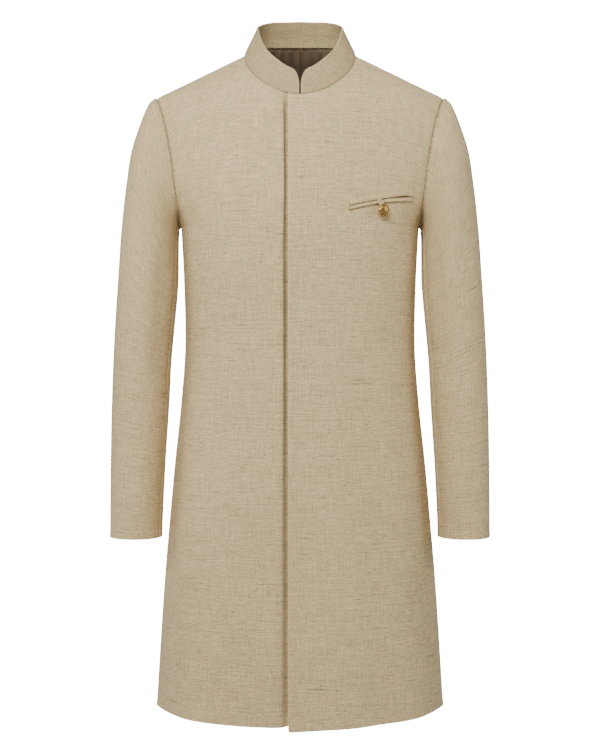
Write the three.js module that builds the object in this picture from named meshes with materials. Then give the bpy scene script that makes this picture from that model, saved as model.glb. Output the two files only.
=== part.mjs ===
// A knee-length sherwani coat, filled out as if worn, with nobody in it.
// Millimetres, +Z up. The front faces -Y and the wearer's left is +X. The origin is the middle of
// the neck, level with the points where the shoulder seams meet the collar.
import * as THREE from 'three';

// ---- driving sizes ------------------------------------------------------------------------------

const CLOTH = 1.6; // two plies of linen and their fusing
const BAND = 1.2; // one side of the stand collar
const LINING = 1.0;
const SEAM_GAP = 0.3; // space between two pieces at a seam, and between two layers

const HEM_Z = -1014;
const WAIST_Z = -440;
const CHEST_Z = -270; // the underarm point
const OVERLAP = 18; // how far each front runs past the centre line
const FRONT_BOW = 4.2; // how much lower the fronts hang at the centre than at the side seams
const FRONT_DIP = 7.5; // how much lower the closing edge hangs than the rest of the hem
const DIP_WIDTH = 140;
const PLACKET_DROP = 6.4; // how far the under front sinks to pass below the closing edge
const PLACKET_DROP_AT_NECK = 4.2;

const NECK_SIDE = 87;
const NECK_FRONT_Z = -67;
const NECK_BACK_Z = 24;
const TIP_X = 221.5; // the shoulder tip
const TIP_Z = -65;
const CHEST_FRONT = 131; // how far the chest stands in front of the shoulder line
const BACK_NECK_DEPTH = 70;
const BACK_BLADES = 125; // how far the shoulder blades stand behind it
const BLADES_Z = -190;

const COLLAR_GAP = 1.2; // from the centre line to the collar's end
const COLLAR_CORNER = 13;
const COLLAR_TOP_SIDE = 66;
const COLLAR_TOP_FRONT_Y = -70;
const COLLAR_TOP_BACK_Y = 58;
// Height of the collar's top edge, by degrees round the neck from the front or back centre.
const COLLAR_TOP_FRONT = [[0, -29.5], [10, -27.8], [27.6, -15.2], [48, 1.4], [77, 34], [90, 43.5]];
const COLLAR_TOP_BACK = [[0, 60.6], [37.5, 58], [61, 52.4], [76, 47.8], [90, 43.5]];

// The coat's body by height, from the hem up. In the upper half the body is as wide as the tops of
// the sleeves, and the armholes are cut out of it.
const HALF_WIDTH = [
  [HEM_Z, 226], [-820, 213], [-620, 194.5], [WAIST_Z, 178.5], [CHEST_Z, 184.5], [-256, 190],
  [-219, 211], [-167, 234], [-119, 243], [-90, 238.5], [TIP_Z, TIP_X],
];
const FRONT_DEPTH = [[HEM_Z, 150], [-820, 141], [-620, 131], [WAIST_Z, 124], [CHEST_Z, CHEST_FRONT]];
const BACK_DEPTH = [[HEM_Z, 134], [-820, 131], [-620, 127], [WAIST_Z, 106], [BLADES_Z, BACK_BLADES]];
// A section is flat in front and round at the side: depth x (1 - across ^ corner) ^ flatness.
const CORNER = [[HEM_Z, 3.6], [-820, 3.3], [-620, 2.9], [CHEST_Z, 2.6], [-167, 2.2], [TIP_Z, 2]];
const FLATNESS = [
  [HEM_Z, 0.85], [-820, 0.72], [-620, 0.58], [CHEST_Z, 0.45], [-219, 0.5], [-167, 0.58], [TIP_Z, 0.64],
];
// The armhole seam as seen from the front: [z, x] from the underarm to the shoulder tip.
const ARMHOLE = [
  [CHEST_Z, 184.5], [-231, 187.3], [-190, 191.5], [-166, 194.5], [-141, 198.5], [-119, 203],
  [-97, 209], [-79, 214.8], [TIP_Z, TIP_X],
];

// The sleeve's outline from the front, [x, z] from the armhole to the cuff.
const SLEEVE_OUTER = [
  [221.5, -65], [227.5, -67], [233.5, -73], [240, -85.5], [250.5, -113], [261, -146],
  [269, -196], [276.5, -262], [282.5, -345], [288, -430], [291.8, -520], [294, -620], [295, -746],
];
const SLEEVE_INNER = [
  [184.5, -270], [186.8, -270.6], [187.8, -272.5], [187.9, -277], [188.1, -284], [188.1, -296],
  [188.2, -318], [188.6, -352], [193, -405], [199, -470], [203, -545], [208.8, -635], [214, -746],
];
const SLEEVE_DEPTH = [62, 63.5, 65, 66.5, 67.5, 68, 68, 67, 64.5, 61, 57.5, 53, 49];
const SLEEVE_FORWARD = 24; // how far the cuff hangs in front of the shoulder
const SLEEVE_CELLS = 16; // cells round the armhole, as many before the shoulder seam as behind it
const SEAM_BLEND_RINGS = 4; // how many rings it takes for the armhole's shape to become the sleeve's

const NECK_COLUMNS = 5;
const SHOULDER_COLUMNS = 5;
const PANEL_COLUMNS = NECK_COLUMNS + SHOULDER_COLUMNS;
const SKIRT_ROWS = 6;
const SIDE_ROWS = 4; // from the waist to the underarm
const ARMHOLE_ROWS = SLEEVE_CELLS / 2;
const UPPER_ROWS = SIDE_ROWS + ARMHOLE_ROWS;
const ROW_EASE = 1.25; // above 1, rows lie closer together towards the neck
const COLUMN_GATHER = 2; // how late the columns bend in towards the neck

const POCKET_INNER_X = 72;
const POCKET_OUTER_X = 169;
const POCKET_INNER_Z = -238;
const POCKET_RISE = 16;
const UPPER_WELT = 5.6;
const LOWER_WELT = 9;
const WELT_CELLS = 14;
const WELT_STANDS_OFF = 1.3;
const WELT_THICK = 1.4;
const MOUTH_OPENING = 0.9; // space between the two welts
const MOUTH_GAPE = 2.8; // how much wider it gapes towards the armhole
const GAPE_X = 154;
const GAPE_WIDTH = 14;

const BUTTON_X = 122;
const BUTTON_Z = -245;
const BUTTON_RADIUS = 9.7;
const BUTTON_HEIGHT = 11;
const LOOP_WIDTH = 7.6;
const LOOP_THICK = 1.1;

// ---- colours ------------------------------------------------------------------------------------

const LINEN = { color: 0xc6b89f, roughness: 0.92, metalness: 0 };
const LINING_CLOTH = { color: 0xa8946f, roughness: 0.6, metalness: 0 };
const BRASS = { color: 0xb98f45, roughness: 0.35, metalness: 1 };

// ---- small tools --------------------------------------------------------------------------------

const vec = (x, y, z) => new THREE.Vector3(x, y, z);
const mix = (a, b, t) => a + (b - a) * t;
const DEGREE = Math.PI / 180;

// A smooth curve through [place, value] stations in rising order, which never overshoots them.
function curveThrough(stations) {
  const last = stations.length - 1;
  const rises = stations.slice(1).map(([x, y], k) => (y - stations[k][1]) / (x - stations[k][0]));
  const slopes = stations.map((unused, k) => {
    const before = rises[Math.max(0, k - 1)];
    const after = rises[Math.min(last - 1, k)];
    return before * after <= 0 ? 0 : (2 * before * after) / (before + after);
  });
  return (place) => {
    const x = Math.max(stations[0][0], Math.min(stations[last][0], place));
    let k = 0;
    while (k < last - 1 && stations[k + 1][0] < x) k += 1;
    const span = stations[k + 1][0] - stations[k][0];
    const t = (x - stations[k][0]) / span;
    const t2 = t * t;
    const t3 = t2 * t;
    return stations[k][1] * (2 * t3 - 3 * t2 + 1) + slopes[k] * span * (t3 - 2 * t2 + t)
      + stations[k + 1][1] * (3 * t2 - 2 * t3) + slopes[k + 1] * span * (t3 - t2);
  };
}

const halfBelowTip = curveThrough(HALF_WIDTH);
const frontBelowChest = curveThrough(FRONT_DEPTH);
const backBelowBlades = curveThrough(BACK_DEPTH);
const cornerAt = curveThrough(CORNER);
const flatnessAt = curveThrough(FLATNESS);
const armholeX = curveThrough(ARMHOLE);
const collarFrontZ = curveThrough(COLLAR_TOP_FRONT);
const collarBackZ = curveThrough(COLLAR_TOP_BACK);

// Half of the body's width at height z. Above the tip it is bounded by the shoulder seam.
function halfWidth(z) {
  if (z <= TIP_Z) return halfBelowTip(z);
  return z >= 0 ? NECK_SIDE : mix(NECK_SIDE, TIP_X, z / TIP_Z);
}

// How far the middle of the front or back stands from the shoulder line at height z.
function depthAt(side, z) {
  if (side < 0) {
    if (z <= CHEST_Z) return frontBelowChest(z);
    const down = Math.max(0, z / CHEST_Z);
    return CHEST_FRONT * Math.sqrt(1 - (1 - down) ** 1.633);
  }
  if (z <= BLADES_Z) return backBelowBlades(z);
  const down = (NECK_BACK_Z - z) / (NECK_BACK_Z - BLADES_Z);
  return BACK_BLADES - (BACK_BLADES - BACK_NECK_DEPTH) * Math.max(0, 1 - down) ** 2.6;
}

// The coat's surface: y at a place seen from the front (side -1) or from behind (+1).
function surfaceY(side, x, z) {
  const across = Math.min(1, Math.abs(x) / halfWidth(z));
  return side * depthAt(side, z) * (1 - across ** cornerAt(z)) ** flatnessAt(z);
}

const surfacePoint = (side, x, z) => vec(x, surfaceY(side, x, z), z);

// The neck seam, from the centre (0) to the neck side point (1).
function neckPoint(side, share) {
  const angle = share * 90 * DEGREE;
  const rise = Math.cos(angle);
  const sag = 0.68; // how much of the drop is a straight slope, the rest is curved
  const z = side < 0
    ? NECK_FRONT_Z * (sag * rise + (1 - sag) * rise ** 2)
    : NECK_BACK_Z * ((1 + sag) * rise - sag * rise ** 2);
  return surfacePoint(side, NECK_SIDE * Math.sin(angle), z);
}

// The armhole seam, from the shoulder tip (0 degrees) round the front or back to the underarm (180).
function armholePoint(side, degrees) {
  const z = mix(TIP_Z, CHEST_Z, (1 - Math.cos(degrees * DEGREE)) / 2);
  return surfacePoint(side, armholeX(z), z);
}

// ---- cloth as a wall ----------------------------------------------------------------------------

// A sheet is a grid of outer points, grid[row][column]. Rows run up and columns run anticlockwise
// round the coat seen from above, so each point's direction, the mean of its faces', points out.
function gridNormals(grid) {
  const normals = grid.map((row) => row.map(() => vec(0, 0, 0)));
  for (let j = 0; j + 1 < grid.length; j += 1) {
    for (let i = 0; i + 1 < grid[0].length; i += 1) {
      const across = grid[j + 1][i + 1].clone().sub(grid[j][i]);
      const facing = across.cross(grid[j + 1][i].clone().sub(grid[j][i + 1])).normalize();
      [[j, i], [j, i + 1], [j + 1, i], [j + 1, i + 1]].forEach(([b, a]) => normals[b][a].add(facing));
    }
  }
  return normals.map((row) => row.map((normal) => normal.normalize()));
}

// The border points of a grid with no repeats, each as [row, column].
function border(grid) {
  const rows = grid.length - 1;
  const columns = grid[0].length - 1;
  const places = [];
  for (let i = 0; i < columns; i += 1) places.push([0, i]);
  for (let j = 0; j < rows; j += 1) places.push([j, columns]);
  for (let i = columns; i > 0; i -= 1) places.push([rows, i]);
  for (let j = rows; j > 0; j -= 1) places.push([j, 0]);
  return places;
}

// Where pieces meet at a seam, walls that face much the same way take the mean of their directions.
function shareSeamNormals(sheets) {
  const met = new Map();
  const round = (value) => Math.round(value * 20);
  sheets.forEach((sheet) => border(sheet.grid).forEach(([j, i]) => {
    const place = [sheet.thickness, ...sheet.grid[j][i].toArray().map(round)].join(' ');
    met.set(place, [...(met.get(place) ?? []), sheet.normals[j][i]]);
  }));
  const agree = -0.05; // walls that turn further apart than this keep their own directions
  met.forEach((normals) => {
    const means = normals.map((normal) => normals
      .filter((other) => other.dot(normal) > agree)
      .reduce((sum, other) => sum.add(other), vec(0, 0, 0)).normalize());
    normals.forEach((normal, k) => normal.copy(means[k]));
  });
}

// Draws the border in by half a seam gap, square to each edge, so that neighbours stay apart.
function drawIn(grid, normals) {
  const moved = grid.map((row) => row.map((point) => point.clone()));
  const loop = border(grid);
  const pointAt = (k) => {
    const [j, i] = loop[(k + loop.length) % loop.length];
    return grid[j][i];
  };
  loop.forEach(([j, i], k) => {
    const inward = (from, to) => normals[j][i].clone().cross(to.clone().sub(from)).normalize();
    const before = inward(pointAt(k - 1), pointAt(k));
    const after = inward(pointAt(k), pointAt(k + 1));
    const reach = (SEAM_GAP * 0.7) / Math.max(0.4, 1 + before.dot(after));
    moved[j][i].addScaledVector(before.add(after), reach);
  });
  return moved;
}

// Closes a grid into a wall: the outer face, the inner face and the rim between them. Each cell is
// split along its shorter diagonal, the same one on both faces.
function wallGeometry({ grid, normals, thickness }) {
  const rows = grid.length;
  const columns = grid[0].length;
  const outer = drawIn(grid, normals);
  const inner = outer.map((row, j) => row.map(
    (point, i) => point.clone().addScaledVector(normals[j][i], -thickness),
  ));
  const positions = [...outer.flat(), ...inner.flat()].flatMap((point) => point.toArray());
  const count = rows * columns;
  const at = (j, i) => j * columns + i;
  const faces = [];
  for (let j = 0; j + 1 < rows; j += 1) {
    for (let i = 0; i + 1 < columns; i += 1) {
      const cell = [at(j, i), at(j, i + 1), at(j + 1, i + 1), at(j + 1, i)];
      const rising = grid[j][i].distanceTo(grid[j + 1][i + 1]);
      const falling = grid[j][i + 1].distanceTo(grid[j + 1][i]);
      const [a, b, c, d] = rising <= falling ? cell : [...cell.slice(1), cell[0]];
      faces.push(a, b, c, a, c, d);
      faces.push(count + a, count + c, count + b, count + a, count + d, count + c);
    }
  }
  const loop = border(grid).map(([j, i]) => at(j, i));
  loop.forEach((a, k) => {
    const b = loop[(k + 1) % loop.length];
    faces.push(b, a, count + a, b, count + a, count + b);
  });
  const geometry = new THREE.BufferGeometry();
  geometry.setAttribute('position', new THREE.Float32BufferAttribute(positions, 3));
  geometry.setIndex(faces);
  geometry.computeVertexNormals();
  return geometry;
}

const mirrorGrid = (grid) => grid.map(
  (row) => row.map((point) => vec(-point.x, point.y, point.z)).reverse(),
);
const reverseColumns = (grid) => grid.map((row) => [...row].reverse());

// ---- fronts and backs ---------------------------------------------------------------------------

const smoothStep = (from, to, value) => {
  const t = Math.max(0, Math.min(1, (value - from) / (to - from)));
  return t * t * (3 - 2 * t);
};

// The top edge as seen from the front: the neck seam, then the straight shoulder seam.
function topEdgeZ(side, x) {
  if (x >= NECK_SIDE) return mix(0, TIP_Z, (x - NECK_SIDE) / (TIP_X - NECK_SIDE));
  return neckPoint(side, Math.asin(x / NECK_SIDE) / (90 * DEGREE)).z;
}

// One row of a panel as a function of x: its right end, and its height at x. Rows are level up to
// the waist. Above it they slant between the centre line and the side seam or armhole, and take
// more and more of the top edge's shape.
function rowLine(side, row, hemZ) {
  if (row <= SKIRT_ROWS) {
    const z = mix(HEM_Z, WAIST_Z, row / SKIRT_ROWS);
    const drop = 1 - row / SKIRT_ROWS;
    return { end: surfacePoint(side, halfWidth(z), z), heightAt: (x) => z + (hemZ(x) - HEM_Z) * drop };
  }
  const upper = row - SKIRT_ROWS;
  const part = upper / UPPER_ROWS;
  const sideZ = mix(WAIST_Z, CHEST_Z, upper / SIDE_ROWS);
  const turn = 180 - (180 * (upper - SIDE_ROWS)) / ARMHOLE_ROWS;
  const end = upper <= SIDE_ROWS ? surfacePoint(side, halfWidth(sideZ), sideZ) : armholePoint(side, turn);
  const raised = 1 - (1 - part) ** ROW_EASE;
  const centreTop = topEdgeZ(side, 0);
  const centreZ = mix(WAIST_Z, centreTop, raised);
  const heightAt = (x) => {
    const across = Math.abs(x) / end.x;
    const shape = topEdgeZ(side, across * TIP_X) - mix(centreTop, TIP_Z, across);
    return mix(centreZ, end.z, across) + shape * raised ** 3;
  };
  return { end, heightAt };
}

// The points of a row from the centre to its end, at equal steps along the cloth. Towards the top
// they gather over the neck seam's points.
const ROW_SAMPLES = 200;
function rowPoints(side, row, hemZ) {
  const { end, heightAt } = rowLine(side, row, hemZ);
  const gather = Math.max(0, (row - SKIRT_ROWS) / UPPER_ROWS) ** COLUMN_GATHER;
  const samples = Array.from({ length: ROW_SAMPLES + 1 }, (unused, k) => {
    const x = end.x * Math.sin((k / ROW_SAMPLES) * 90 * DEGREE);
    return surfacePoint(side, x, heightAt(x));
  });
  samples[ROW_SAMPLES] = end;
  const lengths = [0];
  samples.slice(1).forEach((point, k) => lengths.push(lengths[k] + point.distanceTo(samples[k])));
  return topRow(side).map((above, column) => {
    if (column === PANEL_COLUMNS) return end;
    const target = (column / PANEL_COLUMNS) * lengths[ROW_SAMPLES];
    let k = 1;
    while (k < ROW_SAMPLES && lengths[k] < target) k += 1;
    const part = (target - lengths[k - 1]) / (lengths[k] - lengths[k - 1]);
    const evenX = mix(samples[k - 1].x, samples[k].x, part);
    const x = mix(evenX, (above.x / TIP_X) * end.x, gather);
    return surfacePoint(side, x, heightAt(x));
  });
}

// The top row lies exactly on the neck seam and the shoulder seam.
function topRow(side) {
  const tip = surfacePoint(side, TIP_X, TIP_Z);
  const neckSide = neckPoint(side, 1);
  return Array.from({ length: PANEL_COLUMNS + 1 }, (unused, column) => (column <= NECK_COLUMNS
    ? neckPoint(side, column / NECK_COLUMNS)
    : neckSide.clone().lerp(tip, (column - NECK_COLUMNS) / SHOULDER_COLUMNS)));
}

const LAST_ROW = SKIRT_ROWS + UPPER_ROWS;
const panelRow = (side, row, hemZ) => (row === LAST_ROW ? topRow(side) : rowPoints(side, row, hemZ));
const levelHem = () => HEM_Z;
const frontHem = (x) => HEM_Z - FRONT_BOW * Math.max(0, 1 - (x / HALF_WIDTH[0][1]) ** 2);
const closingHem = (x) => frontHem(x) - FRONT_DIP * Math.max(0, 1 - (x + OVERLAP) / DIP_WIDTH);

// A front from its closing edge to the side seam. `near` lists its columns close to the centre by
// their x, and the under front sinks there to pass below the other front's closing edge.
function frontGrid(near, hemZ, sinks) {
  const grid = [];
  for (let row = 0; row <= LAST_ROW; row += 1) {
    const { heightAt } = rowLine(-1, row, hemZ);
    const closing = near.map((x) => {
      const point = row === LAST_ROW ? neckAt(-1, x) : surfacePoint(-1, x, heightAt(x));
      const drop = row === LAST_ROW ? PLACKET_DROP_AT_NECK : PLACKET_DROP;
      point.y += sinks ? drop * (1 - smoothStep(OVERLAP - 1, OVERLAP + 13, x)) : 0;
      return point;
    });
    grid.push([...closing, ...panelRow(-1, row, hemZ).slice(1)]);
  }
  return grid;
}

// The neck seam at a given distance from the centre line.
function neckAt(side, x) {
  const point = neckPoint(side, Math.asin(Math.abs(x) / NECK_SIDE) / (90 * DEGREE));
  point.x *= Math.sign(x) || 1;
  return point;
}

function backGrid() {
  return Array.from({ length: LAST_ROW + 1 }, (unused, row) => panelRow(1, row, levelHem));
}

// ---- sleeves ------------------------------------------------------------------------------------

// One ring of the wearer's left sleeve: `ring` counts from the armhole to the cuff, and the angle
// runs from the shoulder tip round the front (positive) or the back (negative) to the underarm.
function sleeveOval(ring, degrees) {
  const outer = vec(SLEEVE_OUTER[ring][0], 0, SLEEVE_OUTER[ring][1]);
  const inner = vec(SLEEVE_INNER[ring][0], 0, SLEEVE_INNER[ring][1]);
  const point = outer.lerp(inner, (1 - Math.cos(degrees * DEGREE)) / 2);
  point.y -= SLEEVE_DEPTH[ring] * Math.sin(degrees * DEGREE);
  point.y -= SLEEVE_FORWARD * (ring / (SLEEVE_OUTER.length - 1)) ** 2.2;
  return point;
}

// The first rings pass from the armhole's shape to the oval of the sleeve.
function sleevePoint(ring, degrees) {
  const seam = armholePoint(degrees >= 0 ? -1 : 1, Math.abs(degrees));
  const armhole = seam.sub(sleeveOval(0, degrees));
  const settle = Math.max(0, 1 - ring / SEAM_BLEND_RINGS);
  return sleeveOval(ring, degrees).addScaledVector(armhole, settle);
}

// A sleeve piece between two angles, with rows running up from the cuff to the armhole.
function sleeveGrid(fromDegrees, toDegrees) {
  const step = 360 / SLEEVE_CELLS;
  const cells = Math.round((toDegrees - fromDegrees) / step);
  const grid = [];
  for (let ring = SLEEVE_OUTER.length - 1; ring >= 0; ring -= 1) {
    const row = [];
    for (let k = 0; k <= cells; k += 1) {
      const degrees = fromDegrees + k * step;
      row.push(sleevePoint(ring, degrees > 180 ? degrees - 360 : degrees));
    }
    grid.push(row);
  }
  return grid;
}

// ---- collar -------------------------------------------------------------------------------------

function collarTopAt(side, share) {
  const angle = share * 90 * DEGREE;
  const y = (side < 0 ? COLLAR_TOP_FRONT_Y : COLLAR_TOP_BACK_Y) * Math.cos(angle);
  const z = side < 0 ? collarFrontZ(share * 90) : collarBackZ(share * 90);
  return vec(COLLAR_TOP_SIDE * Math.sin(angle), y, z);
}

// The band's columns run from one front end round the back to the other. Each has a base point and
// a top point, and the corner at each end is rounded by an arc shared by the end and the top edge.
const NEAR_CENTRE = 8; // degrees round the neck of the column next to the closing edge
const COLLAR_ROWS = 4;
const COLLAR_QUARTER = [0.8, NEAR_CENTRE, 18, 36, 54, 72].map((degrees) => degrees / 90);
function collarGrid(inset) {
  const columns = [];
  COLLAR_QUARTER.forEach((share) => columns.push([-1, share, 1]));
  [90, 72, 54, 36, 18].forEach((degrees) => columns.push([1, degrees / 90, 1]));
  columns.push([1, 0, 1]);
  [18, 36, 54, 72, 90].forEach((degrees) => columns.push([1, degrees / 90, -1]));
  [...COLLAR_QUARTER].reverse().forEach((share) => columns.push([-1, share, -1]));
  const grid = [];
  for (let row = 0; row <= COLLAR_ROWS; row += 1) {
    grid.push(columns.map(([side, share, hand]) => {
      const base = share === COLLAR_QUARTER[0] ? neckAt(side, COLLAR_GAP) : neckPoint(side, share);
      const top = collarTopAt(side, share);
      const rise = row / COLLAR_ROWS;
      const point = base.lerp(top, rise);
      if (side < 0) roundCorner(point, rise, share);
      point.x *= hand;
      return point;
    }));
  }
  return insetGrid(grid, inset);
}

// The end column leans back and the columns near it drop, both along one quarter of a circle.
function roundCorner(point, rise, share) {
  const end = share === COLLAR_QUARTER[0];
  const half = COLLAR_CORNER * (1 - Math.SQRT1_2);
  if (end) {
    point.x = COLLAR_GAP + (rise > 0.5 ? half * ((rise - 0.5) * 2) ** 2 : 0);
    point.z -= rise * half * 1.6;
    return;
  }
  const away = point.x - COLLAR_GAP;
  const short = Math.max(0, COLLAR_CORNER - away);
  point.z -= rise * (COLLAR_CORNER - Math.sqrt(COLLAR_CORNER ** 2 - short ** 2));
}

const insetGrid = (grid, inset) => {
  if (inset === 0) return grid;
  const normals = gridNormals(grid);
  return grid.map((row, j) => row.map((point, i) => point.clone().addScaledVector(normals[j][i], -inset)));
};

// ---- lining behind the neck ---------------------------------------------------------------------

const LINING_ROWS = 4; // how many of the back panels' top rows the lining covers
const LINING_COLUMNS = NECK_COLUMNS + 2;
function liningGrid() {
  const back = backGrid();
  const half = back.slice(-1 - LINING_ROWS).map((row) => row.slice(0, LINING_COLUMNS + 1));
  const whole = half.map((row) => [
    ...[...row].reverse(),
    ...row.slice(1).map((point) => vec(-point.x, point.y, point.z)),
  ]);
  const lowered = whole.map((row, j) => row.map((point, i) => {
    if (j < LINING_ROWS) return point;
    return point.clone().lerp(whole[j - 1][i], 0.06);
  }));
  return insetGrid(lowered, CLOTH + SEAM_GAP * 2);
}

// ---- pocket, loop and button --------------------------------------------------------------------

// The front's outer skin at fractional row and column, and its direction there.
function skinAt(sheet, row, column) {
  const j = Math.max(0, Math.min(Math.floor(row), sheet.grid.length - 2));
  const i = Math.max(0, Math.min(Math.floor(column), sheet.grid[0].length - 2));
  const blend = (points) => {
    const low = points[j][i].clone().lerp(points[j][i + 1], column - i);
    const high = points[j + 1][i].clone().lerp(points[j + 1][i + 1], column - i);
    return low.lerp(high, row - j);
  };
  return { point: blend(sheet.grid), normal: blend(sheet.normals).normalize() };
}

// The same skin at a place given by its x and z as seen from the front.
function skinBelow(sheet, x, z) {
  let row = SKIRT_ROWS + UPPER_ROWS / 2;
  let column = sheet.grid[0].length / 3;
  const small = 0.02;
  const stride = (value) => Math.max(-0.7, Math.min(0.7, value));
  for (let step = 0; step < 40; step += 1) {
    const here = skinAt(sheet, row, column).point;
    const right = skinAt(sheet, row, column + small).point.sub(here).divideScalar(small);
    const up = skinAt(sheet, row + small, column).point.sub(here).divideScalar(small);
    const spread = right.x * up.z - right.z * up.x;
    const offX = x - here.x;
    const offZ = z - here.z;
    column += stride((offX * up.z - offZ * up.x) / spread);
    row += stride((right.x * offZ - right.z * offX) / spread);
  }
  return skinAt(sheet, row, column);
}

// Height of the pocket's mouth at x: it rises outwards and levels off.
function mouthZ(x) {
  const part = (x - POCKET_INNER_X) / (POCKET_OUTER_X - POCKET_INNER_X);
  return POCKET_INNER_Z + POCKET_RISE * (1 - (1 - part) ** 1.7);
}

function raisedPoint(front, x, z, height) {
  const skin = skinBelow(front, x, z);
  return skin.point.addScaledVector(skin.normal, height);
}

// Half the mouth's opening at x.
const mouthHalf = (x) => (MOUTH_OPENING + MOUTH_GAPE * Math.exp(-(((x - GAPE_X) / GAPE_WIDTH) ** 2))) / 2;

// A welt reaches from the mouth up (towards +1) or down (towards -1).
function weltGrid(front, towards, welt) {
  const height = WELT_STANDS_OFF + WELT_THICK;
  const shares = towards > 0 ? [0, 0.5, 1] : [1, 0.5, 0];
  return shares.map((share) => {
    const row = [];
    for (let k = 0; k <= WELT_CELLS; k += 1) {
      const x = mix(POCKET_INNER_X, POCKET_OUTER_X, k / WELT_CELLS);
      const offset = mix(mouthHalf(x), welt, share) * towards;
      row.push(raisedPoint(front, x, mouthZ(x) + offset, height));
    }
    return row;
  });
}

const LOOP_ROWS = 4;
function loopGrid(front) {
  const grid = [];
  const topZ = mouthZ(BUTTON_X) - MOUTH_OPENING;
  const lowZ = BUTTON_Z + 4;
  const height = WELT_STANDS_OFF + WELT_THICK + SEAM_GAP + LOOP_THICK + 0.4;
  for (let row = 0; row <= LOOP_ROWS; row += 1) {
    const part = row / LOOP_ROWS;
    const x = mix(BUTTON_X - 1, BUTTON_X - 4, part);
    const z = mix(lowZ, topZ, part);
    grid.push([-0.5, 0.5].map((edge) => raisedPoint(front, x + edge * LOOP_WIDTH, z, height)));
  }
  return grid;
}

// A domed metal button with a raised rim on a narrow shank, turned about its own axis.
function buttonGeometry() {
  const shank = 2.4;
  const headFrom = BUTTON_HEIGHT * 0.47;
  const rim = BUTTON_RADIUS;
  const profile = [
    [0, 0], [shank, 0], [shank, headFrom], [rim * 0.8, headFrom + 0.4], [rim, headFrom + 1.6],
    [rim, headFrom + 2.8], [rim * 0.93, headFrom + 3.4], [rim * 0.86, headFrom + 3.0],
    [rim * 0.6, headFrom + 4.6], [rim * 0.3, BUTTON_HEIGHT - 0.4], [0, BUTTON_HEIGHT],
  ];
  const segments = 24;
  const geometry = new THREE.LatheGeometry(profile.map(([r, y]) => new THREE.Vector2(r, y)), segments);
  return geometry;
}

// ---- assembly -----------------------------------------------------------------------------------

const coat = new THREE.Group();

function addMesh(name, geometry, look) {
  const mesh = new THREE.Mesh(geometry, new THREE.MeshStandardMaterial(look));
  mesh.name = name;
  coat.add(mesh);
  return mesh;
}

const sheet = (name, grid, thickness, look) => ({ name, grid, thickness, look, normals: gridNormals(grid) });

const addSheet = (one) => addMesh(one.name, wallGeometry(one), one.look);

function buildSheets() {
  const near = NECK_SIDE * Math.sin(NEAR_CENTRE * DEGREE);
  const overFront = frontGrid([-OVERLAP, -near, 0, near], closingHem, false);
  const underFront = frontGrid([-OVERLAP, 0, near, OVERLAP], frontHem, true);
  const back = backGrid();
  const topFrom = -112.5;
  const topTo = 157.5;
  const sleeveTop = sleeveGrid(topFrom, topTo);
  const sleeveUnder = sleeveGrid(topTo, topFrom + 360);
  return [
    sheet('front_left', overFront, CLOTH, LINEN),
    sheet('front_right', mirrorGrid(underFront), CLOTH, LINEN),
    sheet('back_left', reverseColumns(back), CLOTH, LINEN),
    sheet('back_right', mirrorGrid(reverseColumns(back)), CLOTH, LINEN),
    sheet('sleeve_left_top', reverseColumns(sleeveTop), CLOTH, LINEN),
    sheet('sleeve_left_under', reverseColumns(sleeveUnder), CLOTH, LINEN),
    sheet('sleeve_right_top', mirrorGrid(reverseColumns(sleeveTop)), CLOTH, LINEN),
    sheet('sleeve_right_under', mirrorGrid(reverseColumns(sleeveUnder)), CLOTH, LINEN),
    sheet('collar_outer', collarGrid(0), BAND, LINEN),
    sheet('collar_inner', collarGrid(BAND + SEAM_GAP), BAND, LINEN),
    sheet('back_neck_lining', liningGrid(), LINING, LINING_CLOTH),
  ];
}

function addPocket(front) {
  const above = weltGrid(front, 1, UPPER_WELT);
  const below = weltGrid(front, -1, LOWER_WELT);
  const loop = loopGrid(front);
  addSheet(sheet('pocket_welt_upper', above, WELT_THICK, LINEN));
  addSheet(sheet('pocket_welt_lower', below, WELT_THICK, LINEN));
  addSheet(sheet('pocket_loop', loop, LOOP_THICK, LINEN));
  const seat = skinBelow(front, BUTTON_X, BUTTON_Z);
  const button = addMesh('pocket_button', buttonGeometry(), BRASS);
  button.quaternion.setFromUnitVectors(vec(0, 1, 0), seat.normal);
  button.position.copy(seat.point.addScaledVector(seat.normal, SEAM_GAP));
}

const sheets = buildSheets();
shareSeamNormals(sheets);
sheets.forEach(addSheet);
addPocket(sheets[0]);

export default coat;
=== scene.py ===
# %% [markdown]
# # A knee-length sherwani coat, cut and sewn in linen
# The coat stands as if worn, with nobody in it, so the neck, the hem and the cuffs are open and the
# inside is hollow. A tailor cuts it from two fronts, two backs, four sleeve pieces and a two-layer
# stand collar, and adds a welted chest pocket with a loop and a metal button.
# The plan here is the same: one thin shell for each cut piece, laid on the form of its solid, with
# rolled edges at the seams and a few soft creases put in one by one.

# %% Load the fixed frame
import itertools
import math

import bmesh
import bpy
import numpy as np
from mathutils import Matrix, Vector


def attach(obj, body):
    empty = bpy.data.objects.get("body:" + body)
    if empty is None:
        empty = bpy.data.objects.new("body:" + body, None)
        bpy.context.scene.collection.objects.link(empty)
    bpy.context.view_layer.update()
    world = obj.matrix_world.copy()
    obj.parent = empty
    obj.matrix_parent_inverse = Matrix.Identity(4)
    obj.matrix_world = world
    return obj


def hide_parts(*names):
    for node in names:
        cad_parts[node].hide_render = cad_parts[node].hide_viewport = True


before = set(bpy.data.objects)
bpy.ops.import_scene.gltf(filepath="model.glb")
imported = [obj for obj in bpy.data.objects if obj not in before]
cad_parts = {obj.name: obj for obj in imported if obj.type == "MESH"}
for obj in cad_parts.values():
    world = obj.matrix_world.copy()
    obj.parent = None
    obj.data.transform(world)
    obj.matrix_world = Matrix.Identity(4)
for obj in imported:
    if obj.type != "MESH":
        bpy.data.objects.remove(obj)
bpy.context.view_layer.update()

print("solids:", len(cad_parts))

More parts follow.
